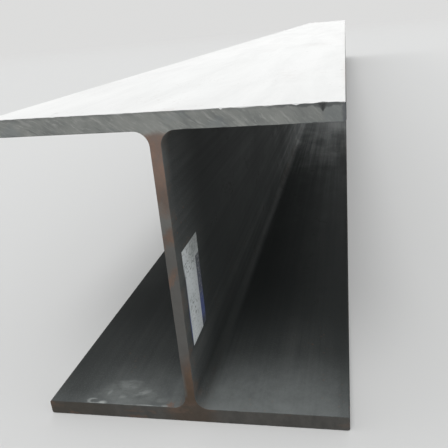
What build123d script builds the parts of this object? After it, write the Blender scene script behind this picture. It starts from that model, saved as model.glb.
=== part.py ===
from build123d import *
import os

# A hot-rolled wide-flange steel beam, 300 x 300 x 10 x 15, sawn off square at both ends,
# with a plain paper tag stuck to its web.
# Millimetres. The origin is under the middle of the beam, on the ground it lies on.
# +Z is up, the beam runs along Y, and the end with the tag is at -Y.

# Rolled section
section_depth = 300.0
flange_width = 300.0
web_thickness = 10.0
flange_thickness = 15.0
root_radius = 13.0
toe_radius = 2.0

# Length between the two sawn ends
beam_length = 4500.0

# Chips knocked out of the upper edge of the tagged end, each with its place across
# from the flange's middle, its width, its depth and how far inward it runs
edge_chips = [
    (133.0, 7.5, 6.8, 5.0),
    (113.5, 8.0, 1.2, 2.0),
    (56.0, 4.0, 1.4, 2.0),
]

# Paper tag on the web
tag_width = 50.0
tag_height = 98.0
tag_thickness = 0.3
tag_inset = 15.0
tag_height_above_ground = 75.0

sawn_end = -beam_length / 2
flange_top = section_depth
web_face = web_thickness / 2

# The beam: one rolled section, extruded both ways from its middle
with BuildPart() as h_beam:
    with BuildSketch(Plane.XZ) as section:
        with Locations((0, flange_thickness / 2), (0, section_depth - flange_thickness / 2)):
            Rectangle(flange_width, flange_thickness)
        with Locations((0, section_depth / 2)):
            Rectangle(web_thickness, section_depth - flange_thickness)
        corner_columns = section.vertices().group_by(Axis.X)
        fillet(corner_columns[1] + corner_columns[2], radius=root_radius)
        corner_columns = section.vertices().group_by(Axis.X)
        fillet(corner_columns[0] + corner_columns[-1], radius=toe_radius)
    extrude(amount=beam_length / 2, both=True)

    # A chip is a V at the sawn face, and it runs out inward on the flange's upper surface
    for place, width, depth, inward in edge_chips:
        with BuildSketch(Plane.XZ.offset(-sawn_end)) as chip_mouth:
            with BuildLine():
                Polyline(
                    (place - width / 2, flange_top),
                    (place, flange_top - depth),
                    (place + width / 2, flange_top),
                    close=True,
                )
            make_face()
        loft([chip_mouth.sketch.face(), Vertex(place, sawn_end + inward, flange_top)], mode=Mode.SUBTRACT)

h_beam.part.label = "h_beam"

# The paper tag, flat on the web's +X face
with BuildPart() as paper_label:
    with BuildSketch(Plane.YZ.offset(web_face)):
        with Locations((sawn_end + tag_inset, tag_height_above_ground)):
            Rectangle(tag_width, tag_height, align=(Align.MIN, Align.MIN))
    extrude(amount=tag_thickness)

paper_label.part.label = "paper_label"

os.makedirs("parts", exist_ok=True)
export_step(h_beam.part, "parts/h_beam.step")
export_step(paper_label.part, "parts/paper_label.step")
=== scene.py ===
import math

import bmesh
import bpy
import numpy as np
from mathutils import Matrix, Vector
from mathutils import noise as smooth_noise


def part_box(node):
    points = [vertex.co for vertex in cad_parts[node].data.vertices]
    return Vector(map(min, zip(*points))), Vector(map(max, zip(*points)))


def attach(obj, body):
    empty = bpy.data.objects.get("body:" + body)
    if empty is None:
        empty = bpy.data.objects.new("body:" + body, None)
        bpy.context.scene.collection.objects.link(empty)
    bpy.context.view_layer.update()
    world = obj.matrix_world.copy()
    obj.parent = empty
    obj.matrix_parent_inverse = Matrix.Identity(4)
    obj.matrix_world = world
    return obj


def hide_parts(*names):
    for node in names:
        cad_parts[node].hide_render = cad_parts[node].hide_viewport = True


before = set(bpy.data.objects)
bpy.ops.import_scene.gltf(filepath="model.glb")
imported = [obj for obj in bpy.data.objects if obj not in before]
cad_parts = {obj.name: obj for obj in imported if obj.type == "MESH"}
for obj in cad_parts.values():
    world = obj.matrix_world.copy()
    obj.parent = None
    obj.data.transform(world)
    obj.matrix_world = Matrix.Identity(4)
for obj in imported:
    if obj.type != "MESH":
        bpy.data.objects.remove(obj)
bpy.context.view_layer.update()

# The beam, in metres. The box comes from the frame, and the section is the rolled one.
_, beam_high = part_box("h_beam")
HALF_WIDTH = beam_high.x
DEPTH = beam_high.z
HALF_LENGTH = beam_high.y
WEB = 0.010
FLANGE = 0.015
ROOT_RADIUS = 0.013
TOE_RADIUS = 0.002
ROOT_END = WEB / 2 + ROOT_RADIUS

# Chips in the upper edge of the near end: place across, width, depth down, depth inward
CHIPS = (
    (0.1330, 0.0075, 0.0066, 0.0050),
    (0.1135, 0.0080, 0.0012, 0.0020),
    (0.0560, 0.0040, 0.0014, 0.0020),
)

# The floor's half width, how far below the beam it lies, and where it fades into the backdrop
FLOOR_HALF = 60.0
FLOOR_DROP = 0.0004
FLOOR_FADE = (3.5, 16.0)

# The floor as it is seen, as its light falls back on the beam, and the backdrop, in linear colour
FLOOR_COLOUR = (0.60, 0.60, 0.595)
FLOOR_BOUNCE = (0.40, 0.40, 0.40)
BACKDROP = (0.72, 0.72, 0.715)

# The world's light on surfaces, at the horizon and overhead, and its colour
WORLD_LIGHT = (0.50, 0.66)
WORLD_COLOUR = (0.975, 0.99, 1.0)

# How finely the beam's mesh is cut across, and where its rings lie, counted from each end
FLAT_STEP = 0.002
WEB_STEP = 0.003
FLANGE_ROWS = 10
ARC_STEPS = 8
END_STATIONS = (0.0003, 0.0009, 0.0016, 0.0024, 0.0033, 0.0044, 0.0056, 0.0075, 0.010, 0.014,
                0.020, 0.029, 0.042, 0.060, 0.085, 0.12, 0.17, 0.24, 0.34)
MIDDLE_STEP = 0.12

# How far the cut edges are worn in, how far below the top the outer face begins, and how far the
# tag's back stands off the web
EDGE_WEAR = 0.00025
TOP_RIM = 0.0007
TAG_GAP = 0.00003

# Camera: where it stands, its heading, tilt down and roll in degrees, its lens and its sideways shift
CAMERA_PLACE = (0.1497, -2.6551, 0.3600)
CAMERA_HEADING = 12.03
CAMERA_TILT = 20.49
CAMERA_ROLL = -4.95
CAMERA_LENS = 43.36
CAMERA_SHIFT = -0.0357

MILL_SCALE, SAWN, BROKEN, TOP = range(4)

# Linear colours of the rolled scale, from dark to pale: by the cut ends with painted shade, and halfway
# along the beam
SCALE = ((0.034, 0.037, 0.037), (0.052, 0.056, 0.055), (0.083, 0.087, 0.084))
HALFWAY_SCALE = ((0.150, 0.158, 0.159), (0.208, 0.217, 0.216), (0.280, 0.288, 0.283))
SCALE_GRAIN = (0.115, 0.122, 0.122)
# Painted shade for the scale between the flanges
SHADED_SCALE = (0.0180, 0.0200, 0.0195)

# Linear colours of what has come on the scale: flaked spots, rust, dust with painted light, and chalk
FLAKED_STEEL = (0.125, 0.108, 0.095)
RUST_FILM = (0.112, 0.076, 0.056)
RUST_SPECK = (0.130, 0.070, 0.042)
RUST_SPOT = (0.170, 0.095, 0.066)
# Dust that also carries painted light by the cut ends
LOW_DUST_AND_LIGHT = (0.168, 0.180, 0.178)
CHALK = (0.420, 0.445, 0.430)

# Linear colours of the upper flange's outer face; its pale dust also paints the glare on it
TOP_DUST_AND_GLARE = (0.592, 0.596, 0.588)
TOP_SCALE = ((0.170, 0.176, 0.176), (0.270, 0.276, 0.272))
TOP_DIRT = (0.150, 0.145, 0.135)
TOP_FILM = (0.240, 0.180, 0.140)
TOP_SPECK = (0.200, 0.120, 0.080)

# Linear colours of the bare cut, of its strokes and scores, and of the patches on the upper flange
CUT_STEEL = ((0.150, 0.158, 0.152), (0.198, 0.206, 0.194), (0.241, 0.248, 0.232))
PALE_STROKE = (0.320, 0.325, 0.305)
DARK_SCORE = (0.118, 0.126, 0.124)
PALE_SCORE = (0.340, 0.343, 0.322)
COOL_PATCH = (0.160, 0.180, 0.186)
MIDDLE_PATCH = (0.268, 0.273, 0.255)
RIGHT_PATCH = (0.140, 0.148, 0.142)
CORNER_PATCH = (0.158, 0.174, 0.178)
# Grime with painted shade, low on the cut
CUT_GRIME_AND_SHADE = (0.066, 0.065, 0.061)
# Painted shade along the upper edge's rolled-over lip and in the deep chip
DARK_LIP = (0.075, 0.080, 0.080)
DARK_TOE = (0.078, 0.082, 0.089)
# Torn metal in the deep chip, darkened with painted shade
BROKEN_STEEL_AND_SHADE = ((0.036, 0.038, 0.039), (0.074, 0.075, 0.074))

# Linear colours of the rust on the cut, some with painted shade, from dark to pale where there are two
FRESH_RUST = ((0.134, 0.086, 0.066), (0.203, 0.124, 0.090))
OLD_RUST = ((0.062, 0.043, 0.032), (0.104, 0.063, 0.040))
FOOT_RUST = ((0.062, 0.034, 0.017), (0.098, 0.055, 0.027))
# Rust with painted shadow where the web meets the lower flange
JUNCTION_RUST_AND_SHADOW = (0.046, 0.025, 0.011)
FOOT_DUST = (0.074, 0.080, 0.076)
# Rust with painted shade on the lower flange's cut, the second for its left
LOW_RUST_AND_SHADE = ((0.033, 0.035, 0.033), (0.053, 0.056, 0.053))
LEFT_LOW_RUST_AND_SHADE = (0.027, 0.025, 0.018)
LOW_RUST_MIDDLE = (0.042, 0.027, 0.015)
LOW_RUST_SPOT = (0.100, 0.060, 0.040)

# Linear colours of the tag, the blue ones with their places up it
PAPER = ((0.495, 0.530, 0.540), (0.600, 0.628, 0.632))
PAPER_SHADE = (0.300, 0.320, 0.325)
WORN_GREY = (0.130, 0.148, 0.138)
# Painted shade of a fold at the tag's upper corner
CORNER_FOLD_SHADE = (0.215, 0.232, 0.222)
TAG_BLUE = (
    (0.05, (0.030, 0.036, 0.052)),
    (0.13, (0.045, 0.064, 0.178)),
    (0.30, (0.044, 0.062, 0.168)),
    (0.42, (0.046, 0.052, 0.086)),
    (0.75, (0.046, 0.051, 0.062)),
)
SCUFFED_BLUE = (0.215, 0.225, 0.220)
TAG_DIRT = (0.130, 0.130, 0.118)

# How rusty the web's cut is from the ground up: height as a share of the depth, and amount
WEB_RUST = (
    (0.000, 1.00), (0.208, 1.00), (0.262, 0.07), (0.495, 0.07), (0.515, 1.00),
    (0.530, 1.00), (0.550, 0.07), (0.612, 0.07), (0.632, 1.00), (0.656, 1.00),
    (0.676, 0.07), (0.700, 0.07), (0.738, 1.00), (0.934, 1.00), (0.948, 0.00),
)

# Soft patches of the chalk smear: centre across and inward, half sizes, turn in degrees and strength
SMEARS = (
    ((-0.072, 0.016), (0.040, 0.025), 0.0, 0.13),
    ((-0.074, 0.030), (0.019, 0.011), 0.0, 0.22),
    ((-0.070, 0.029), (0.006, 0.0045), 0.0, 0.28),
    ((-0.0565, 0.0192), (0.0125, 0.0045), 27.0, 0.30),
    ((-0.0760, 0.0115), (0.0085, 0.0050), 5.0, 0.27),
    ((-0.0916, 0.0173), (0.0075, 0.0026), 76.0, 0.24),
    ((-0.0340, 0.0090), (0.0080, 0.0045), 0.0, 0.12),
    ((-0.0930, 0.0018), (0.0060, 0.0036), 0.0, 0.92),
    ((-0.0980, 0.0005), (0.0120, 0.0016), 0.0, 0.50),
    ((-0.0700, 0.0006), (0.0200, 0.0014), 0.0, 0.20),
    ((-0.0475, 0.0006), (0.0150, 0.0019), 0.0, 0.50),
    ((-0.0272, 0.0012), (0.0045, 0.0026), 0.0, 0.46),
)

# The saw blade's centre across and above the ground, low on the left of the section
BLADE_CENTRE = (-0.36, -0.19)


def wobble(point, scale, seed=0.0):
    """Smooth noise between -1 and 1 at a place."""
    return smooth_noise.noise(Vector(point) * scale + Vector((seed, seed, seed)))


class Graph:
    """A material's nodes, with a short call for each kind that the materials here use."""

    def __init__(self, name):
        self.material = bpy.data.materials.new(name)
        self.material.use_nodes = True
        self.nodes = self.material.node_tree.nodes
        self.links = self.material.node_tree.links
        self.shader = self.nodes["Principled BSDF"]
        self.place = self.add("ShaderNodeTexCoord").outputs["Object"]
        self.axes = self.add("ShaderNodeSeparateXYZ")
        self.links.new(self.place, self.axes.inputs[0])
        self.x, self.y, self.z = self.axes.outputs

    def add(self, kind, **settings):
        node = self.nodes.new(kind)
        for name, value in settings.items():
            setattr(node, name, value)
        return node

    def feed(self, socket, value):
        """Links a socket, or sets its value."""
        if isinstance(value, bpy.types.NodeSocket):
            self.links.new(value, socket)
        elif isinstance(value, tuple) and len(value) == 3 and socket.type == "RGBA":
            socket.default_value = (*value, 1.0)
        else:
            socket.default_value = value

    def math(self, operation, *values):
        node = self.add("ShaderNodeMath", operation=operation)
        for socket, value in zip(node.inputs, values):
            self.feed(socket, value)
        return node.outputs[0]

    def chain(self, operation, values):
        """One operation taken through all the values, from first to last."""
        result = values[0]
        for value in values[1:]:
            result = self.math(operation, result, value)
        return result

    def plus(self, *values):
        return self.chain("ADD", values)

    def times(self, *values):
        return self.chain("MULTIPLY", values)

    def most(self, *values):
        return self.chain("MAXIMUM", values)

    def minus(self, value, less):
        return self.math("SUBTRACT", value, less)

    def absolute(self, value):
        return self.math("ABSOLUTE", value)

    def centred(self, noise, amount):
        """Noise moved to lie about zero, then scaled."""
        return self.times(self.minus(noise, 0.5), amount)

    def distance(self, across, aside):
        """How far off a point is that lies so far across and so far aside."""
        return self.math("SQRT", self.plus(self.times(across, across), self.times(aside, aside)))

    def combine(self, x, y, z):
        node = self.add("ShaderNodeCombineXYZ")
        for socket, value in zip(node.inputs, (x, y, z)):
            self.feed(socket, value)
        return node.outputs[0]

    def stretch(self, scale, shift=(0, 0, 0)):
        """The place, scaled to cells per metre along each axis, then shifted."""
        node = self.add("ShaderNodeMapping", vector_type="POINT")
        self.links.new(self.place, node.inputs["Vector"])
        node.inputs["Scale"].default_value = scale
        node.inputs["Location"].default_value = shift
        return node.outputs[0]

    def noise(self, where, detail, roughness=0.5, distortion=0.0):
        node = self.add("ShaderNodeTexNoise")
        self.feed(node.inputs["Vector"], where)
        node.inputs["Scale"].default_value = 1.0
        node.inputs["Detail"].default_value = detail
        node.inputs["Roughness"].default_value = roughness
        node.inputs["Distortion"].default_value = distortion
        return node.outputs["Fac"]

    def cells(self, where):
        """Distance to the nearest of many loosely scattered points."""
        node = self.add("ShaderNodeTexVoronoi")
        self.feed(node.inputs["Vector"], where)
        node.inputs["Scale"].default_value = 1.0
        return node.outputs["Distance"]

    def fade(self, value, low, high, to_low=0.0, to_high=1.0):
        """A smooth step from to_low at low to to_high at high."""
        node = self.add("ShaderNodeMapRange", interpolation_type="SMOOTHSTEP")
        for socket, given in zip(node.inputs, (value, low, high, to_low, to_high)):
            self.feed(socket, given)
        return node.outputs["Result"]

    def band(self, value, low, high, soft):
        """One between low and high, fading to nothing over a soft margin outside them."""
        rising = self.fade(value, low - soft, low)
        falling = self.fade(value, high, high + soft, 1.0, 0.0)
        return self.times(rising, falling)

    def ramp(self, factor, stops):
        """A colour ramp from (place, colour) pairs."""
        node = self.add("ShaderNodeValToRGB")
        self.feed(node.inputs["Fac"], factor)
        points = node.color_ramp.elements
        while len(points) < len(stops):
            points.new(0.5)
        for point, (place, colour) in zip(points, stops):
            point.position = place
            point.color = (*colour, 1.0)
        return node.outputs["Color"]

    def shades(self, factor, low, high, colours):
        """A colour ramp with its colours spaced evenly from low to high."""
        step = (high - low) / (len(colours) - 1)
        return self.ramp(factor, [(low + step * i, colour) for i, colour in enumerate(colours)])

    def mix(self, factor, under, over):
        node = self.add("ShaderNodeMix", data_type="RGBA")
        self.feed(node.inputs["Factor"], factor)
        self.feed(node.inputs["A"], under)
        self.feed(node.inputs["B"], over)
        return node.outputs["Result"]

    def relief(self, height, depth):
        """Bump of a real depth in metres."""
        node = self.add("ShaderNodeBump")
        node.inputs["Strength"].default_value = 1.0
        node.inputs["Distance"].default_value = depth
        self.feed(node.inputs["Height"], height)
        return node.outputs["Normal"]

    def finish(self, colour, roughness, normal=None, **constants):
        """Feeds the shader, and sets the rest of its values by name."""
        self.feed(self.shader.inputs["Base Color"], colour)
        self.feed(self.shader.inputs["Roughness"], roughness)
        for name, value in constants.items():
            self.shader.inputs[name.replace("_", " ")].default_value = value
        if normal is not None:
            self.feed(self.shader.inputs["Normal"], normal)
        return self.material


def rolled_tone(g):
    """Rolling streaks that run along the beam, and soft clouds between them."""
    broad = g.noise(g.stretch((26.0, 0.9, 26.0)), detail=5.0, roughness=0.6)
    narrow = g.noise(g.stretch((190.0, 2.4, 190.0), shift=(0.3, 2.0, 0.7)), detail=3.0, roughness=0.6)
    cloud = g.noise(g.stretch((11.0, 6.0, 11.0)), detail=6.0, roughness=0.62, distortion=0.3)
    return g.plus(g.times(broad, 0.40), g.times(narrow, 0.22), g.times(cloud, 0.38)), narrow


def rust_masks(g):
    """How much rust film and how many rust specks a place has, and the ragged noise behind them."""
    ragged = g.noise(g.stretch((95.0, 70.0, 95.0), shift=(2.0, 1.0, 4.0)), detail=7.0, roughness=0.7)
    patchy = g.noise(g.stretch((7.0, 2.6, 7.0), shift=(1.0, 5.0, 8.0)), detail=5.0, roughness=0.62)
    across = g.absolute(g.x)
    by_cut = g.fade(g.absolute(g.y), HALF_LENGTH - 0.035, HALF_LENGTH)
    by_cut = g.times(by_cut, g.fade(across, 0.030, 0.010, 0.30, 1.0))
    toes = g.fade(across, HALF_WIDTH - 0.007, HALF_WIDTH - 0.001)
    root_heights = g.most(g.fade(g.z, 0.034, 0.018), g.fade(g.z, DEPTH - 0.034, DEPTH - 0.018))
    roots = g.times(g.fade(across, 0.024, 0.010), root_heights)
    favoured = g.most(g.times(by_cut, 0.65), g.times(toes, 0.7), g.times(roots, 0.25))
    level = g.plus(g.times(patchy, 0.62), g.times(favoured, 0.17), g.times(ragged, 0.38))
    film = g.fade(level, 0.545, 0.690)

    dots = g.cells(g.stretch((170.0, 120.0, 170.0)))
    places = g.noise(g.stretch((17.0, 8.0, 17.0), shift=(4.0, 4.0, 4.0)), detail=3.0, roughness=0.6)
    chosen = g.fade(g.plus(places, g.times(favoured, 0.12)), 0.50, 0.64)
    return film, g.times(g.fade(dots, 0.24, 0.10), chosen), ragged


def facing_up(g):
    """One where the surface faces straight up."""
    facing = g.add("ShaderNodeSeparateXYZ")
    g.links.new(g.add("ShaderNodeNewGeometry").outputs["Normal"], facing.inputs[0])
    return g.fade(facing.outputs["Z"], 0.80, 0.99)


def flange_oval(g, centre, size, turn=0.0):
    """Distance from the centre of a turned oval on the lower flange, as a share of its size."""
    across = g.minus(g.x, centre[0])
    inward = g.minus(g.plus(g.y, HALF_LENGTH), centre[1])
    c, s = math.cos(math.radians(turn)), math.sin(math.radians(turn))
    along = g.times(g.plus(g.times(across, c), g.times(inward, s)), 1 / size[0])
    aside = g.times(g.minus(g.times(inward, c), g.times(across, s)), 1 / size[1])
    return g.distance(along, aside)


def chalk_smear(g):
    """A faint white smear with a small curl, on the lower flange at the left of the near end."""
    wander = g.minus(g.noise(g.stretch((60.0, 80.0, 0.0)), detail=4.0, roughness=0.65), 0.5)
    cloud = g.noise(g.stretch((70.0, 130.0, 0.0)), detail=6.0, roughness=0.66, distortion=0.8)
    uneven = g.fade(cloud, 0.34, 0.62, 0.42, 1.0)
    patches = []
    for centre, size, turn, strength in SMEARS:
        away = g.plus(flange_oval(g, centre, size, turn), g.times(wander, 1.3))
        patches.append(g.times(g.fade(away, 1.15, 0.25), uneven, strength))

    # The curl is a ring that stays open on its right
    away = flange_oval(g, (-0.1022, 0.0034), (0.0062, 0.0036), -6.0)
    off_line = g.absolute(g.plus(g.minus(away, 1.0), g.times(wander, 1.2)))
    curl = g.times(g.fade(off_line, 0.42, 0.05), g.fade(g.x, -0.0985, -0.1050), 0.40)
    rubbed = flange_oval(g, (-0.0563, 0.0132), (0.0078, 0.0024), 12.0)
    smear = g.times(g.most(*patches, curl), g.fade(rubbed, 0.6, 1.2, 0.35, 1.0))
    return g.times(smear, g.fade(g.z, 0.022, 0.017), g.fade(g.z, 0.010, 0.013), facing_up(g))


def scale_colour(g, tone, grain, drifting):
    """Blue-grey scale with a fine pale grain, darker by the cut ends with painted shade, paler halfway along
    the beam.
    """
    colour = g.shades(tone, 0.34, 0.66, SCALE)
    colour = g.mix(g.fade(grain, 0.48, 0.74, 0.0, 0.35), colour, SCALE_GRAIN)
    paler = g.shades(tone, 0.36, 0.64, HALFWAY_SCALE)
    # Painted shade: nearer the cut ends the scale keeps its darker colours
    return g.mix(g.fade(drifting, 0.35, 1.80, 0.0, 0.95), colour, paler)


def flaked_spots(g, tone):
    """Where the scale has flaked off the steel."""
    flaked = g.noise(g.stretch((48.0, 26.0, 48.0), shift=(3.1, 7.7, 1.3)), detail=8.0, roughness=0.70)
    return g.times(g.fade(flaked, 0.600, 0.615), g.fade(tone, 0.47, 0.56))


def add_rust(g, colour, flakes, film, specks, upward):
    """Browner steel where the scale has flaked and rust film, both weaker facing up, and rust specks."""
    colour = g.mix(g.times(flakes, g.fade(upward, 0.0, 1.0, 0.55, 0.12)), colour, FLAKED_STEEL)
    colour = g.mix(g.times(film, g.fade(upward, 0.0, 1.0, 0.62, 0.22)), colour, RUST_FILM)
    return g.mix(g.times(specks, 0.60), colour, RUST_SPECK)


def add_shade(g, colour, from_end, drifting, upward, inside):
    """Painted shade: darker scale between the flanges, past the cut ends, on the lower flange most of all,
    by the toes and the web's root.
    """
    across = g.absolute(g.x)
    near = g.fade(drifting, 0.70, 1.50, 1.0, 0.0)
    on_web = g.fade(g.z, 0.070, 0.150, 0.70, 0.90)
    past_end = g.times(g.fade(from_end, 0.004, 0.110), g.fade(upward, 0.0, 1.0, on_web, 0.46))
    colour = g.mix(g.times(inside, near, past_end), colour, SHADED_SCALE)
    further_in = g.fade(from_end, 0.090, 0.200, 0.0, 0.75)
    colour = g.mix(g.times(upward, near, further_in), colour, SHADED_SCALE)
    by_toe = g.times(g.fade(across, 0.112, 0.145), g.fade(from_end, 0.015, 0.060, 0.0, 0.40))
    colour = g.mix(g.times(upward, near, by_toe), colour, SHADED_SCALE)
    root = g.times(g.fade(across, 0.0195, 0.0165), g.fade(g.z, 0.034, 0.024))
    by_root = g.times(inside, root, near, g.fade(from_end, 0.015, 0.070, 0.0, 0.45))
    return g.mix(by_root, colour, SHADED_SCALE)


def add_dust(g, colour, from_end, ragged, upward, inside):
    """Pale dust on the lower flange by the ends with painted light, thinned by painted shade at the web's
    foot, along the toes and on the left.
    """
    across = g.absolute(g.x)
    # Painted shade thins the dust at the web's foot, along the toes and on the left; painted light brightens
    # it by the cut ends
    by_web = g.fade(across, 0.010, 0.024, 0.34, 1.0)
    by_toes = g.times(g.fade(across, 0.095, 0.142, 1.0, 0.80), g.fade(across, 0.137, 0.143, 1.0, 0.62))
    on_left = g.times(g.fade(g.x, -0.135, -0.080, 0.08, 1.0), g.fade(g.x, -0.038, -0.010, 0.56, 1.0))
    reach = g.fade(g.x, -0.060, 0.020, 0.086, 0.112)
    lit_and_dusty_near_end = g.fade(from_end, reach, -0.002, 0.04, 1.0)
    uneven = g.fade(ragged, 0.25, 0.75, 0.60, 0.95)
    dust = g.times(upward, by_web, by_toes, on_left, lit_and_dusty_near_end, uneven, 0.82)
    colour = g.mix(dust, colour, LOW_DUST_AND_LIGHT)

    # A thin line of dust on the inner faces along the cut, stronger high up
    edge_dust = g.fade(from_end, 0.022, 0.0, 0.0, g.fade(g.z, 0.225, 0.262, 0.16, 0.44))
    return g.mix(g.times(inside, edge_dust), colour, LOW_DUST_AND_LIGHT)


def add_rust_spot(g, colour, grain, ragged):
    """A small speckled spot of rust on the lower flange, left of the web at the near end."""
    away = flange_oval(g, (-0.0225, 0.003), (0.0045, 0.006))
    speckle = g.plus(away, g.centred(grain, 3.4), g.times(ragged, 1.2))
    spot = g.times(g.fade(speckle, 1.5, 0.8), g.fade(g.z, 0.030, 0.020), 0.60)
    return g.mix(spot, colour, RUST_SPOT)


def mill_scale_material():
    """The rolled surfaces: blue-grey scale with painted shade by the cut ends and between the flanges, dusty
    facing up with painted light by the ends, rusting at roots, toes and cut ends.
    """
    g = Graph("mill_scale")
    tone, narrow = rolled_tone(g)
    grain = g.noise(g.stretch((800.0, 420.0, 800.0)), detail=2.0, roughness=0.6)
    from_end = g.minus(HALF_LENGTH, g.absolute(g.y))
    drifting = g.plus(from_end, g.centred(tone, 1.6))
    upward = g.times(facing_up(g), g.fade(g.z, 0.050, 0.030))
    inside = g.times(g.fade(g.z, 0.0120, 0.0145), g.fade(g.z, DEPTH - 0.0120, DEPTH - 0.0145))
    film, specks, ragged = rust_masks(g)
    flakes = flaked_spots(g, tone)

    colour = scale_colour(g, tone, grain, drifting)
    colour = add_rust(g, colour, flakes, film, specks, upward)
    colour = add_shade(g, colour, from_end, drifting, upward, inside)
    colour = add_dust(g, colour, from_end, ragged, upward, inside)
    colour = add_rust_spot(g, colour, grain, ragged)
    colour = g.mix(chalk_smear(g), colour, CHALK)

    rough = g.plus(g.fade(tone, 0.34, 0.66, 0.66, 0.54), g.times(g.most(film, flakes), 0.22))
    height = g.plus(g.times(narrow, 0.30), g.times(grain, 0.10))
    height = g.plus(g.minus(height, g.times(flakes, 0.28)), g.times(specks, 0.35))
    return g.finish(colour, rough, g.relief(height, 0.00022), IOR=1.45, Specular_IOR_Level=0.03)


def top_material():
    """The upper flange's outer face: scale under pale rain-streaked dust that also paints its glare, with
    specks of dirt and rust.
    """
    g = Graph("dusty_glare_top")
    tone, narrow = rolled_tone(g)
    streaks = g.stretch((21.0, 3.2, 21.0), shift=(2.0, 6.0, 3.0))
    washed = g.noise(streaks, detail=7.0, roughness=0.66, distortion=0.5)
    cover = g.fade(g.plus(g.times(washed, 0.65), g.times(tone, 0.35)), 0.30, 0.62, 0.74, 1.0)
    # The pale dust also paints the glare on this face
    colour = g.mix(cover, g.shades(tone, 0.34, 0.66, TOP_SCALE), TOP_DUST_AND_GLARE)
    marks = g.fade(g.cells(g.stretch((34.0, 20.0, 34.0))), 0.095, 0.045)
    chosen = g.fade(g.noise(g.stretch((9.0, 7.0, 9.0), shift=(6.0, 6.0, 6.0)), detail=2.0), 0.50, 0.60)
    colour = g.mix(g.times(marks, chosen, 0.55), colour, TOP_DIRT)
    film, specks, _ = rust_masks(g)
    colour = g.mix(g.times(film, 0.16), colour, TOP_FILM)
    colour = g.mix(g.times(specks, 0.30), colour, TOP_SPECK)
    return g.finish(colour, 0.34, g.relief(narrow, 0.00002), IOR=1.62)


def saw_strokes(g):
    """The saw's strokes as noise along arcs: broad, fine, and a few deep scores."""
    from_x = g.minus(g.x, BLADE_CENTRE[0])
    from_z = g.minus(g.z, BLADE_CENTRE[1])
    drift = g.noise(g.stretch((46.0, 1.0, 46.0), shift=(7.0, 0.0, 3.0)), detail=4.0, roughness=0.6)
    reach = g.plus(g.distance(from_x, from_z), g.centred(drift, 0.0085))
    angle = g.math("ARCTAN2", from_z, from_x)
    side = g.math("SIGN", g.y)
    broad_place = g.combine(g.times(reach, 105.0), g.times(angle, 22.0), side)
    fine_place = g.combine(g.times(reach, 560.0), g.times(angle, 52.0), side)
    score_place = g.combine(g.times(reach, 290.0), g.times(angle, 17.0), g.times(side, 4.0))
    broad = g.noise(broad_place, detail=4.0, roughness=0.62)
    fine = g.noise(fine_place, detail=4.0, roughness=0.7)
    return broad, fine, g.noise(score_place, detail=1.5)


def bare_cut(g, tone, fine, scores):
    """Bare sawn steel: strokes and patches, clearest on the upper flange, and grime with painted shade
    further down.
    """
    on_flange = g.fade(g.z, 0.255, 0.285, 0.25, 1.0)
    cool = g.noise(g.stretch((38.0, 1.0, 52.0), shift=(3.4, 0.0, 6.1)), detail=3.0, roughness=0.6)
    layers = (
        (g.fade(fine, 0.50, 0.70, 0.0, 0.80), PALE_STROKE),
        (g.fade(scores, 0.590, 0.690, 0.0, 0.62), DARK_SCORE),
        (g.fade(scores, 0.400, 0.310, 0.0, 0.42), PALE_SCORE),
        (g.fade(cool, 0.56, 0.68, 0.0, 0.42), COOL_PATCH),
        (g.fade(g.absolute(g.plus(g.x, 0.002)), 0.038, 0.012, 0.0, 0.34), MIDDLE_PATCH),
        (g.fade(g.x, 0.092, 0.124, 0.0, 0.36), RIGHT_PATCH),
    )
    colour = g.shades(tone, 0.36, 0.64, CUT_STEEL)
    for share, over in layers:
        colour = g.mix(g.times(on_flange, share), colour, over)
    # Grime and painted shade darken the cut further down
    colour = g.mix(g.fade(g.z, 0.280, 0.165, 0.0, 0.92), colour, CUT_GRIME_AND_SHADE)
    corner = g.times(g.fade(g.x, 0.1315, 0.1355), g.fade(g.z, 0.20, 0.24), 0.36)
    return g.mix(corner, colour, CORNER_PATCH)


def rust_by_web(g, ragged):
    """How rusty the cut is: brown at the web's top and foot, with spots between them."""
    slant = g.times(g.fade(g.z, 0.198, 0.212, -0.7, 1.0), g.fade(g.z, 0.262, 0.245))
    slant = g.times(g.fade(g.x, -WEB / 2, WEB / 2, -0.0050, 0.0050), slant)
    unevenness = g.fade(g.z, 0.225, 0.265, 0.034, 0.010)
    wavy = g.plus(g.z, g.centred(ragged, unevenness), slant)
    stops = [(place, (share, share, share)) for place, share in WEB_RUST]
    amount = g.ramp(g.math("DIVIDE", wavy, DEPTH), stops)
    by_web = g.most(g.fade(g.z, 0.220, 0.200), g.fade(g.absolute(g.x), 0.024, 0.017))
    return g.times(amount, by_web)


def add_low_rust_and_shade(g, colour, ragged):
    """Dull dark rust with painted shade on the lower flange's cut, darker on the left, browner under the
    web, with a few rusty spots.
    """
    low = g.fade(g.z, 0.044, 0.020)
    from_web = g.absolute(g.x)
    dull = g.shades(ragged, 0.35, 0.65, LOW_RUST_AND_SHADE)
    # Painted shade: the lower flange's cut is darker towards the left
    dull = g.mix(g.fade(g.x, -0.040, -0.130, 0.0, 0.75), dull, LEFT_LOW_RUST_AND_SHADE)
    dull = g.mix(g.fade(from_web, 0.034, 0.010, 0.0, 0.70), dull, LOW_RUST_MIDDLE)
    colour = g.mix(g.times(low, 0.88), colour, dull)
    patch = g.noise(g.stretch((34.0, 1.0, 70.0), shift=(8.2, 0.0, 1.0)), detail=5.0, roughness=0.66)
    left_toe = g.fade(g.x, -0.120, -0.149, 0.0, 0.10)
    under_web = g.fade(from_web, 0.036, 0.010, 0.0, 0.05)
    spots = g.fade(g.plus(patch, left_toe, under_web), 0.56, 0.66)
    return g.mix(g.times(low, spots, g.fade(g.x, -0.060, 0.060, 0.62, 0.30)), colour, LOW_RUST_SPOT)


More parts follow.
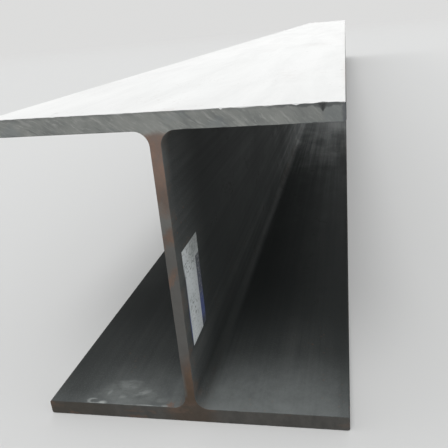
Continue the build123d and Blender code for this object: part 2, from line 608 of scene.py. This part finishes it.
def sawn_rust(g, colour, ragged):
    """Rust on the cut: by the web, on the lower flange with painted shade, and darkest where the two meet,
    with painted shadow there.
    """
    patches = g.fade(ragged, 0.34, 0.60, g.fade(g.z, 0.190, 0.210, 0.62, 0.85), 1.0)
    aged = g.most(g.fade(g.z, 0.252, 0.228, 0.0, 0.60), g.fade(g.z, 0.145, 0.080))
    fresh, old = g.shades(ragged, 0.35, 0.65, FRESH_RUST), g.shades(ragged, 0.35, 0.65, OLD_RUST)
    colour = g.mix(g.times(rust_by_web(g, ragged), patches, 0.92), colour, g.mix(aged, fresh, old))
    foot = g.times(g.fade(g.z, 0.066, 0.046), g.fade(patches, 0.62, 1.0, 0.84, 0.96))
    colour = g.mix(foot, colour, g.shades(ragged, 0.38, 0.62, FOOT_RUST))
    colour = add_low_rust_and_shade(g, colour, ragged)
    # Painted shadow darkens the rust where the web meets the lower flange
    junction = g.times(g.fade(g.z, 0.040, 0.033), g.fade(g.z, 0.018, 0.024))
    junction = g.times(junction, g.fade(patches, 0.62, 1.0, 0.30, 0.60))
    colour = g.mix(junction, colour, JUNCTION_RUST_AND_SHADOW)

    # The left edge of the web's foot is grey with dust
    dusty = g.times(g.fade(g.x, -0.0012, -0.0042), g.fade(g.z, 0.066, 0.050), g.fade(g.z, 0.026, 0.032))
    return g.mix(g.times(dusty, g.fade(ragged, 0.38, 0.55, 0.55, 0.85)), colour, FOOT_DUST)


def dark_edges(g, colour, ragged):
    """The upper flange's rolled-over edges: painted shade along its top edge on the right and in the deep
    chip, and a dark right toe.
    """
    off_chip = g.absolute(g.minus(g.x, CHIPS[0][0]))
    wider = g.most(g.fade(g.x, 0.106, 0.116, 0.0, 0.0007), g.fade(off_chip, 0.0095, 0.0045, 0.0, 0.0022))
    lip = g.plus(g.z, g.centred(ragged, 0.0070), wider)
    lip = g.times(g.fade(lip, DEPTH - 0.0024, DEPTH - 0.0009), g.fade(g.x, 0.082, 0.116, 0.24, 0.90))
    colour = g.mix(lip, colour, DARK_LIP)

    # Painted shade fills the deep chip's V on the cut
    vee = g.minus(off_chip, g.times(g.minus(g.z, DEPTH - 0.0070), 0.74))
    near_end = g.fade(g.y, 0.0, -1.0)
    colour = g.mix(g.times(g.fade(vee, 0.0004, -0.0004), near_end, 0.85), colour, DARK_LIP)

    to_toe = g.plus(g.x, g.centred(ragged, 0.0050))
    toe = g.fade(to_toe, HALF_WIDTH - 0.0036, HALF_WIDTH - 0.0014)
    return g.mix(g.times(toe, g.fade(g.z, 0.20, 0.24), 0.75), colour, DARK_TOE)


def sawn_material():
    """A saw-cut end: matt grey steel with the blade's curved strokes, partly rusted."""
    g = Graph("sawn_steel")
    broad, fine, scores = saw_strokes(g)
    blotch = g.noise(g.stretch((60.0, 1.0, 60.0)), detail=5.0, roughness=0.62)
    tone = g.plus(g.times(broad, 0.62), g.times(blotch, 0.38))
    ragged = g.noise(g.stretch((120.0, 1.0, 75.0), shift=(5.0, 0.0, 2.0)), detail=6.0, roughness=0.7)
    colour = bare_cut(g, tone, fine, scores)
    colour = sawn_rust(g, colour, ragged)
    colour = dark_edges(g, colour, ragged)
    normal = g.relief(g.plus(g.times(broad, 0.5), g.times(fine, 0.35)), 0.00035)
    return g.finish(colour, g.fade(tone, 0.34, 0.66, 0.68, 0.54), normal, IOR=1.50)


def broken_material():
    """The torn metal inside the deep chip: dark with painted shade and grainy by the cut, dusty with painted
    glare where it runs out on top.
    """
    g = Graph("broken_steel")
    grain = g.noise(g.stretch((900.0, 900.0, 900.0)), detail=4.0, roughness=0.7)
    rim = g.plus(g.z, g.times(g.plus(g.y, HALF_LENGTH), 0.15))
    on_top = g.fade(rim, DEPTH - 0.0002, DEPTH + 0.0002)
    colour = g.mix(on_top, g.shades(grain, 0.35, 0.65, BROKEN_STEEL_AND_SHADE), TOP_DUST_AND_GLARE)
    return g.finish(colour, 0.7, g.relief(grain, 0.0003), Specular_IOR_Level=0.3)


def tag_panel(g, across, up, cloud, mottle):
    """The tag's pale panel: greyer to the right with painted shade, worn in two loose blocks, with painted
    shade of a fold at its upper corner.
    """
    # Painted shade, greyer towards the right
    shade = g.fade(across, 0.22, 0.75, 0.0, g.fade(up, 0.50, 0.66, 0.30, 0.46))
    paper = g.mix(shade, g.shades(cloud, 0.32, 0.68, PAPER), PAPER_SHADE)
    lower_block = g.times(g.band(up, 0.25, 0.46, 0.06), g.band(across, 0.18, 0.50, 0.14))
    upper_block = g.times(g.band(up, 0.74, 0.96, 0.07), g.band(across, 0.08, 0.64, 0.14))
    worn = g.most(g.times(g.fade(cloud, 0.46, 0.60), 0.35), lower_block, upper_block)
    paper = g.mix(g.times(g.fade(mottle, 0.52, 0.62), worn, 0.72), paper, WORN_GREY)
    # Painted shade of a fold at the upper corner
    corner = g.times(g.fade(across, 0.10, 0.72), g.fade(up, 0.71, 0.90))
    return g.mix(g.times(corner, g.fade(mottle, 0.38, 0.60, 0.62, 1.0)), paper, CORNER_FOLD_SHADE)


def paper_material(low, high):
    """A paper tag: a pale panel, a plain blue band at its far edge and a thin blue line at its near one."""
    g = Graph("tag_paper")
    across = g.math("DIVIDE", g.minus(g.y, low.y), high.y - low.y)
    up = g.math("DIVIDE", g.minus(g.z, low.z), high.z - low.z)
    cloud = g.noise(g.stretch((60.0, 60.0, 60.0)), detail=5.0, roughness=0.6)
    mottle = g.noise(g.stretch((1.0, 170.0, 400.0), shift=(0.0, 3.0, 5.0)), detail=2.0, roughness=0.6)
    far_band = g.times(g.fade(across, 0.745, 0.765), g.fade(up, 0.800, 0.785))
    near_line = g.times(g.fade(across, 0.050, 0.036), g.fade(up, 0.90, 0.70))
    scuffed = g.times(g.fade(mottle, 0.50, 0.60), g.band(across, 0.84, 0.96, 0.05))
    scuffed = g.times(scuffed, g.fade(up, 0.22, 0.40, 0.2, 0.60))
    blue = g.mix(scuffed, g.ramp(up, TAG_BLUE), SCUFFED_BLUE)
    panel = tag_panel(g, across, up, cloud, mottle)
    colour = g.mix(g.most(far_band, near_line), panel, blue)
    dirt = g.noise(g.stretch((420.0, 420.0, 420.0)), detail=3.0, roughness=0.6)
    colour = g.mix(g.fade(dirt, 0.58, 0.70, 0.0, 0.50), colour, TAG_DIRT)
    return g.finish(colour, 0.6, g.relief(cloud, 0.0003), Specular_IOR_Level=0.35)


def flange_range(x):
    """Lowest and highest point of the lower flange at a place across it."""
    across = abs(x)
    low, high = 0.0, FLANGE
    past_flat = across - (HALF_WIDTH - TOE_RADIUS)
    if past_flat > 0:
        rise = TOE_RADIUS - math.sqrt(max(0.0, TOE_RADIUS ** 2 - past_flat ** 2))
        low, high = rise, FLANGE - rise
    into_root = min(ROOT_END - across, ROOT_RADIUS)
    if into_root > 0:
        high = FLANGE + ROOT_RADIUS - math.sqrt(max(0.0, ROOT_RADIUS ** 2 - into_root ** 2))
    return low, high


def flange_places():
    """Places across a flange for the mesh's columns: close together on the arcs and at the chips."""
    arcs = [math.pi / 2 * step / ARC_STEPS for step in range(ARC_STEPS + 1)]
    special = [HALF_WIDTH - TOE_RADIUS * (1 - math.sin(a)) for a in arcs[::2]]
    special += [ROOT_END - ROOT_RADIUS * math.sin(a) for a in arcs]
    special += [WEB / 4]
    special = [side * x for x in special for side in (-1, 1)] + [0.0]
    for place, width, _, _ in CHIPS:
        special += [place + width / 2 * share for share in (-1, -0.5, 0, 0.5, 1)]
    special = np.unique(np.round(special, 7))
    flats = np.arange(-HALF_WIDTH + TOE_RADIUS, HALF_WIDTH - TOE_RADIUS, FLAT_STEP)
    flats = [x for x in flats if abs(x) > ROOT_END and np.abs(special - x).min() > 0.4 * FLAT_STEP]
    return np.sort(np.concatenate([special, flats]))


def end_outline(lower_ids, upper_ids, web_ids, left, right):
    """Ids of the end's outline, anticlockwise from the lower left corner; left and right bound the web."""
    return np.concatenate([
        lower_ids[:, 0],
        lower_ids[-1, 1:],
        lower_ids[right:-1, -1][::-1],
        web_ids[-1, 1:],
        upper_ids[right + 1:, 0],
        upper_ids[-1, 1:],
        upper_ids[:-1, -1][::-1],
        upper_ids[0, :-1][::-1],
        upper_ids[1:left + 1, 0],
        web_ids[0, :-1][::-1],
        lower_ids[:left, -1][::-1],
        lower_ids[0, 1:-1][::-1],
    ])


def end_grid():
    """The beam's end from the near side: x and z of its points, its quads, and the points of its outline."""
    places = flange_places()
    ranges = np.array([flange_range(x) for x in places])
    share = np.linspace(0.0, 1.0, FLANGE_ROWS + 1)
    heights = ranges[:, :1] + (ranges[:, 1:] - ranges[:, :1]) * share
    across = np.repeat(places[:, None], FLANGE_ROWS + 1, axis=1)
    lower = np.stack([across, heights], axis=2)
    upper = np.stack([across, DEPTH - heights[:, ::-1]], axis=2)

    columns = len(places)
    count = columns * (FLANGE_ROWS + 1)
    lower_ids = np.arange(count).reshape(columns, -1)
    upper_ids = lower_ids + count
    in_web = np.flatnonzero(np.abs(places) < WEB / 2 + 1e-6)
    foot = FLANGE + ROOT_RADIUS
    rows = round((DEPTH - 2 * foot) / WEB_STEP)
    levels = np.linspace(foot, DEPTH - foot, rows + 1)
    inner = np.stack(np.meshgrid(places[in_web], levels[1:-1], indexing="ij"), axis=2)
    inner_ids = 2 * count + np.arange(inner.shape[0] * inner.shape[1]).reshape(inner.shape[:2])
    web_ids = np.concatenate([lower_ids[in_web, -1:], inner_ids, upper_ids[in_web, :1]], axis=1)

    points = np.concatenate([block.reshape(-1, 2) for block in (lower, upper, inner)])
    quads = []
    for ids in (lower_ids, upper_ids, web_ids):
        corners = [ids[:-1, :-1], ids[1:, :-1], ids[1:, 1:], ids[:-1, 1:]]
        quads.append(np.stack(corners, axis=2).reshape(-1, 4))

    outline = end_outline(lower_ids, upper_ids, web_ids, in_web[0], in_web[-1])
    return points, np.concatenate(quads), outline


def inward_normals(ring):
    """Unit vectors into the section at each point of its outline."""
    along = np.roll(ring, -1, axis=0) - np.roll(ring, 1, axis=0)
    normals = np.stack([-along[:, 1], along[:, 0]], axis=1)
    return normals / np.linalg.norm(normals, axis=1, keepdims=True)


def worn_ring(ring, end):
    """The outline at a sawn end, set in a little by a ragged amount."""
    normals = inward_normals(ring)
    moved = []
    for (x, z), (nx, nz) in zip(ring, normals):
        place = (x, end, z)
        nick = max(0.0, wobble(place, 160.0, 3.0)) + 0.5 * max(0.0, wobble(place, 520.0, 9.0))
        bite = max(0.0, wobble(place, 75.0, 6.0) - 0.22) * (2.6 if z > DEPTH - 0.001 else 0.8)
        inset = EDGE_WEAR * (0.6 + 1.9 * nick + 2.4 * bite)
        moved.append((x + nx * inset, z + nz * inset))
    return np.array(moved)


def stations():
    """Places along the beam for the mesh's rings, close together at both ends."""
    near = [-HALF_LENGTH + d for d in END_STATIONS]
    count = round(2 * -near[-1] / MIDDLE_STEP)
    middle = np.linspace(near[-1], -near[-1], count + 1)[1:-1]
    return near + list(middle) + [-y for y in reversed(near)]


def beam_mesh():
    """The whole beam as one closed mesh: both sawn ends and the rings between them."""
    points, quads, outline = end_grid()
    rings = stations()
    count, size = len(points), len(outline)
    vertices = []
    for end in (-HALF_LENGTH, HALF_LENGTH):
        face = points.copy()
        face[outline] = worn_ring(points[outline], end)
        vertices += [(x, end, z) for x, z in face]
    for y in rings:
        vertices += [(x, y, z) for x, z in points[outline]]

    faces = [tuple(q) for q in quads]
    faces += [tuple(q[::-1] + count) for q in quads]
    materials = [SAWN] * len(faces)
    heights = points[outline][:, 1]
    on_top = (heights > DEPTH - TOP_RIM) & (np.roll(heights, -1) > DEPTH - TOP_RIM)
    between = [2 * count + size * i + np.arange(size) for i in range(len(rings))]
    ring_ids = [outline] + between + [outline + count]
    for this, following in zip(ring_ids, ring_ids[1:]):
        strip = np.stack([this, following, np.roll(following, -1), np.roll(this, -1)], axis=1)
        faces += [tuple(q) for q in strip]
        materials += [TOP if top else MILL_SCALE for top in on_top]

    mesh = bpy.data.meshes.new("rolled_beam")
    mesh.from_pydata(vertices, [], [tuple(int(i) for i in face) for face in faces])
    mesh.polygons.foreach_set("material_index", materials)
    for material in (mill_scale_material(), sawn_material(), broken_material(), top_material()):
        mesh.materials.append(material)
    return mesh


def chip_cutters():
    """One mesh of rough wedges, each the shape of a chip out of the near end's upper edge."""
    cutter = bpy.data.meshes.new("chip_cutters")
    shape = bmesh.new()
    # Each wedge stands past the faces that it cuts by this share of its own size
    over = 0.3
    y, z = -HALF_LENGTH, DEPTH
    for place, width, depth, reach in CHIPS:
        half_mouth = width / 2 * (1 + 2 * over)
        corners = [(place - half_mouth, y - over * reach, z + over * depth),
                   (place + half_mouth, y - over * reach, z + over * depth),
                   (place, y - over * reach, z - depth * (1 + over)),
                   (place, y + reach * (1 + over), z + over * depth)]
        wedge = bmesh.new()
        bmesh.ops.convex_hull(wedge, input=[wedge.verts.new(c) for c in corners])
        bmesh.ops.subdivide_edges(wedge, edges=wedge.edges[:], cuts=7, use_grid_fill=True)
        bmesh.ops.recalc_face_normals(wedge, faces=wedge.faces[:])
        for vertex in wedge.verts:
            rough = 0.05 * wobble(vertex.co, 420.0, 1.0) + 0.03 * wobble(vertex.co, 1300.0, 5.0)
            vertex.co += vertex.normal * (depth * rough)
        part = bpy.data.meshes.new("chip")
        wedge.to_mesh(part)
        inside = BROKEN if depth > 0.005 else TOP
        part.polygons.foreach_set("material_index", [inside] * len(part.polygons))
        wedge.free()
        shape.from_mesh(part)
        bpy.data.meshes.remove(part)
    shape.to_mesh(cutter)
    shape.free()
    return cutter


def cut_chips(beam):
    """Takes the chips out of the beam's mesh."""
    cutter = bpy.data.objects.new("chip_cutters", chip_cutters())
    for material in beam.data.materials:
        cutter.data.materials.append(material)
    bpy.context.scene.collection.objects.link(cutter)
    cut = beam.modifiers.new("chips", "BOOLEAN")
    cut.operation = "DIFFERENCE"
    cut.solver = "EXACT"
    cut.object = cutter
    whole = beam.data
    evaluated = beam.evaluated_get(bpy.context.evaluated_depsgraph_get())
    beam.data = bpy.data.meshes.new_from_object(evaluated)
    beam.modifiers.clear()
    bpy.data.meshes.remove(whole)
    bpy.data.meshes.remove(cutter.data)


def build_beam():
    beam = bpy.data.objects.new("rolled_beam", beam_mesh())
    bpy.context.scene.collection.objects.link(beam)
    cut_chips(beam)
    beam.data.polygons.foreach_set("use_smooth", [True] * len(beam.data.polygons))
    beam.data.set_sharp_from_angle(angle=math.radians(32))
    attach(beam, "root")
    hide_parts("h_beam")


def tag_sheet(low, high):
    """Points and faces of a thin closed sheet with a few low blisters, inside the tag's solid."""
    cells_y, cells_z = 40, 78
    back, front = low.x + TAG_GAP, high.x
    ys = np.linspace(low.y, high.y, cells_y + 1)
    zs = np.linspace(low.z, high.z, cells_z + 1)
    vertices, faces = [], []
    for layer in range(2):
        for i, y in enumerate(ys):
            for j, z in enumerate(zs):
                rim = min(i, cells_y - i, j, cells_z - j) / 4
                lift = 0.45 + 0.5 * wobble((0.0, y, z), 70.0, 2.0) * min(1.0, rim)
                x = back if layer == 0 else back + (front - back) * min(1.0, max(0.3, lift))
                vertices.append((x, y, z))
    row = cells_z + 1
    layer_size = row * (cells_y + 1)
    for i in range(cells_y):
        for j in range(cells_z):
            a, b = i * row + j, (i + 1) * row + j
            c, d = b + 1, a + 1
            faces.append((a, d, c, b))
            faces.append((a + layer_size, b + layer_size, c + layer_size, d + layer_size))
    rim = [i * row for i in range(cells_y)] + [cells_y * row + j for j in range(cells_z)]
    rim += [i * row + cells_z for i in range(cells_y, 0, -1)] + [j for j in range(cells_z, 0, -1)]
    for a, b in zip(rim, rim[1:] + rim[:1]):
        faces.append((a, b, b + layer_size, a + layer_size))
    return vertices, faces


def build_tag():
    low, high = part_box("paper_label")
    vertices, faces = tag_sheet(low, high)
    mesh = bpy.data.meshes.new("paper_tag")
    mesh.from_pydata(vertices, [], faces)
    mesh.polygons.foreach_set("use_smooth", [True] * len(faces))
    mesh.set_sharp_from_angle(angle=math.radians(50))
    mesh.materials.append(paper_material(low, high))
    tag = bpy.data.objects.new("paper_tag", mesh)
    bpy.context.scene.collection.objects.link(tag)
    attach(tag, "root")
    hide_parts("paper_label")


def floor_material():
    """Pale floor that throws back less light than it shows, and turns into the backdrop far away."""
    g = Graph("floor")
    g.finish(FLOOR_COLOUR, 0.9, Specular_IOR_Level=0.0)
    bounced = g.add("ShaderNodeBsdfDiffuse")
    bounced.inputs["Color"].default_value = (*FLOOR_BOUNCE, 1.0)
    backdrop = g.add("ShaderNodeEmission")
    backdrop.inputs["Color"].default_value = (*BACKDROP, 1.0)
    diffuse_ray = g.add("ShaderNodeLightPath").outputs["Is Diffuse Ray"]
    lit = g.add("ShaderNodeMixShader")
    g.links.new(diffuse_ray, lit.inputs[0])
    g.links.new(g.shader.outputs[0], lit.inputs[1])
    g.links.new(bounced.outputs[0], lit.inputs[2])
    fading = g.times(g.fade(g.distance(g.x, g.y), *FLOOR_FADE), g.minus(1.0, diffuse_ray))
    far = g.add("ShaderNodeMixShader")
    g.links.new(fading, far.inputs[0])
    g.links.new(lit.outputs[0], far.inputs[1])
    g.links.new(backdrop.outputs[0], far.inputs[2])
    g.links.new(far.outputs[0], g.nodes["Material Output"].inputs["Surface"])
    return g.material


def build_floor():
    """A wide pale floor that keeps the beam's shadow and fades into the backdrop far from it."""
    corners = [(-1, -1), (1, -1), (1, 1), (-1, 1)]
    mesh = bpy.data.meshes.new("floor")
    mesh.from_pydata([(x * FLOOR_HALF, y * FLOOR_HALF, 0) for x, y in corners], [], [(0, 1, 2, 3)])
    mesh.materials.append(floor_material())
    floor = bpy.data.objects.new("floor", mesh)
    floor.location.z = -FLOOR_DROP
    bpy.context.scene.collection.objects.link(floor)


def sun(name, azimuth, elevation, strength, angle, in_gloss=True):
    """A soft distant lamp. Its azimuth counts from -Y towards +X, its elevation from the horizon."""
    lamp = bpy.data.lights.new(name, "SUN")
    lamp.energy = strength
    lamp.angle = math.radians(angle)
    holder = bpy.data.objects.new(name, lamp)
    a, e = math.radians(azimuth), math.radians(elevation)
    source = Vector((math.sin(a) * math.cos(e), -math.cos(a) * math.cos(e), math.sin(e)))
    holder.rotation_mode = "QUATERNION"
    holder.rotation_quaternion = source.to_track_quat("Z", "Y")
    holder.visible_glossy = in_gloss
    bpy.context.scene.collection.objects.link(holder)


def camera_or_gloss(nodes, links):
    """One for the rays that carry the backdrop: the camera's, reflected ones and those through glass."""
    rays = nodes.new("ShaderNodeLightPath")
    seen = rays.outputs["Is Camera Ray"]
    for kind in ("Is Glossy Ray", "Is Transmission Ray"):
        either = nodes.new("ShaderNodeMath")
        either.operation = "MAXIMUM"
        links.new(seen, either.inputs[0])
        links.new(rays.outputs[kind], either.inputs[1])
        seen = either.outputs[0]
    return seen


def build_world():
    """Soft light mostly from overhead, and a plain pale backdrop where the camera and gloss see it."""
    world = bpy.data.worlds.new("studio")
    bpy.context.scene.world = world
    world.use_nodes = True
    nodes, links = world.node_tree.nodes, world.node_tree.links
    direction = nodes.new("ShaderNodeTexCoord")
    axes = nodes.new("ShaderNodeSeparateXYZ")
    links.new(direction.outputs["Generated"], axes.inputs[0])
    overhead = nodes.new("ShaderNodeMapRange")
    overhead.interpolation_type = "SMOOTHSTEP"
    links.new(axes.outputs["Z"], overhead.inputs["Value"])
    names = ("From Min", "From Max", "To Min", "To Max")
    for name, value in zip(names, (0.15, 0.85, *WORLD_LIGHT)):
        overhead.inputs[name].default_value = value
    fill = nodes["Background"]
    fill.inputs["Color"].default_value = (*WORLD_COLOUR, 1)
    links.new(overhead.outputs["Result"], fill.inputs["Strength"])
    backdrop = nodes.new("ShaderNodeBackground")
    backdrop.inputs["Color"].default_value = (*BACKDROP, 1)
    backdrop.inputs["Strength"].default_value = 1.0
    mix = nodes.new("ShaderNodeMixShader")
    links.new(camera_or_gloss(nodes, links), mix.inputs[0])
    links.new(fill.outputs[0], mix.inputs[1])
    links.new(backdrop.outputs[0], mix.inputs[2])
    links.new(mix.outputs[0], nodes["World Output"].inputs["Surface"])


def build_camera():
    data = bpy.data.cameras.new("camera")
    data.sensor_width = 36.0
    data.lens = CAMERA_LENS
    data.shift_x = CAMERA_SHIFT
    data.clip_start = 0.01
    camera = bpy.data.objects.new("camera", data)
    turn = Matrix.Rotation(math.radians(CAMERA_HEADING), 4, "Z")
    tilt = Matrix.Rotation(math.radians(90 - CAMERA_TILT), 4, "X")
    roll = Matrix.Rotation(math.radians(CAMERA_ROLL), 4, "Z")
    camera.matrix_world = Matrix.Translation(CAMERA_PLACE) @ turn @ tilt @ roll
    bpy.context.scene.collection.objects.link(camera)
    bpy.context.scene.camera = camera


build_beam()
build_tag()
build_floor()
sun("key_light", azimuth=2.0, elevation=60.0, strength=1.74, angle=36.0)
sun("back_light", azimuth=192.0, elevation=20.0, strength=0.58, angle=60.0)
sun("left_light", azimuth=270.0, elevation=11.0, strength=0.90, angle=50.0, in_gloss=False)
sun("right_light", azimuth=90.0, elevation=11.0, strength=0.50, angle=50.0, in_gloss=False)
build_world()
build_camera()
bpy.context.scene.view_settings.view_transform = "Standard"
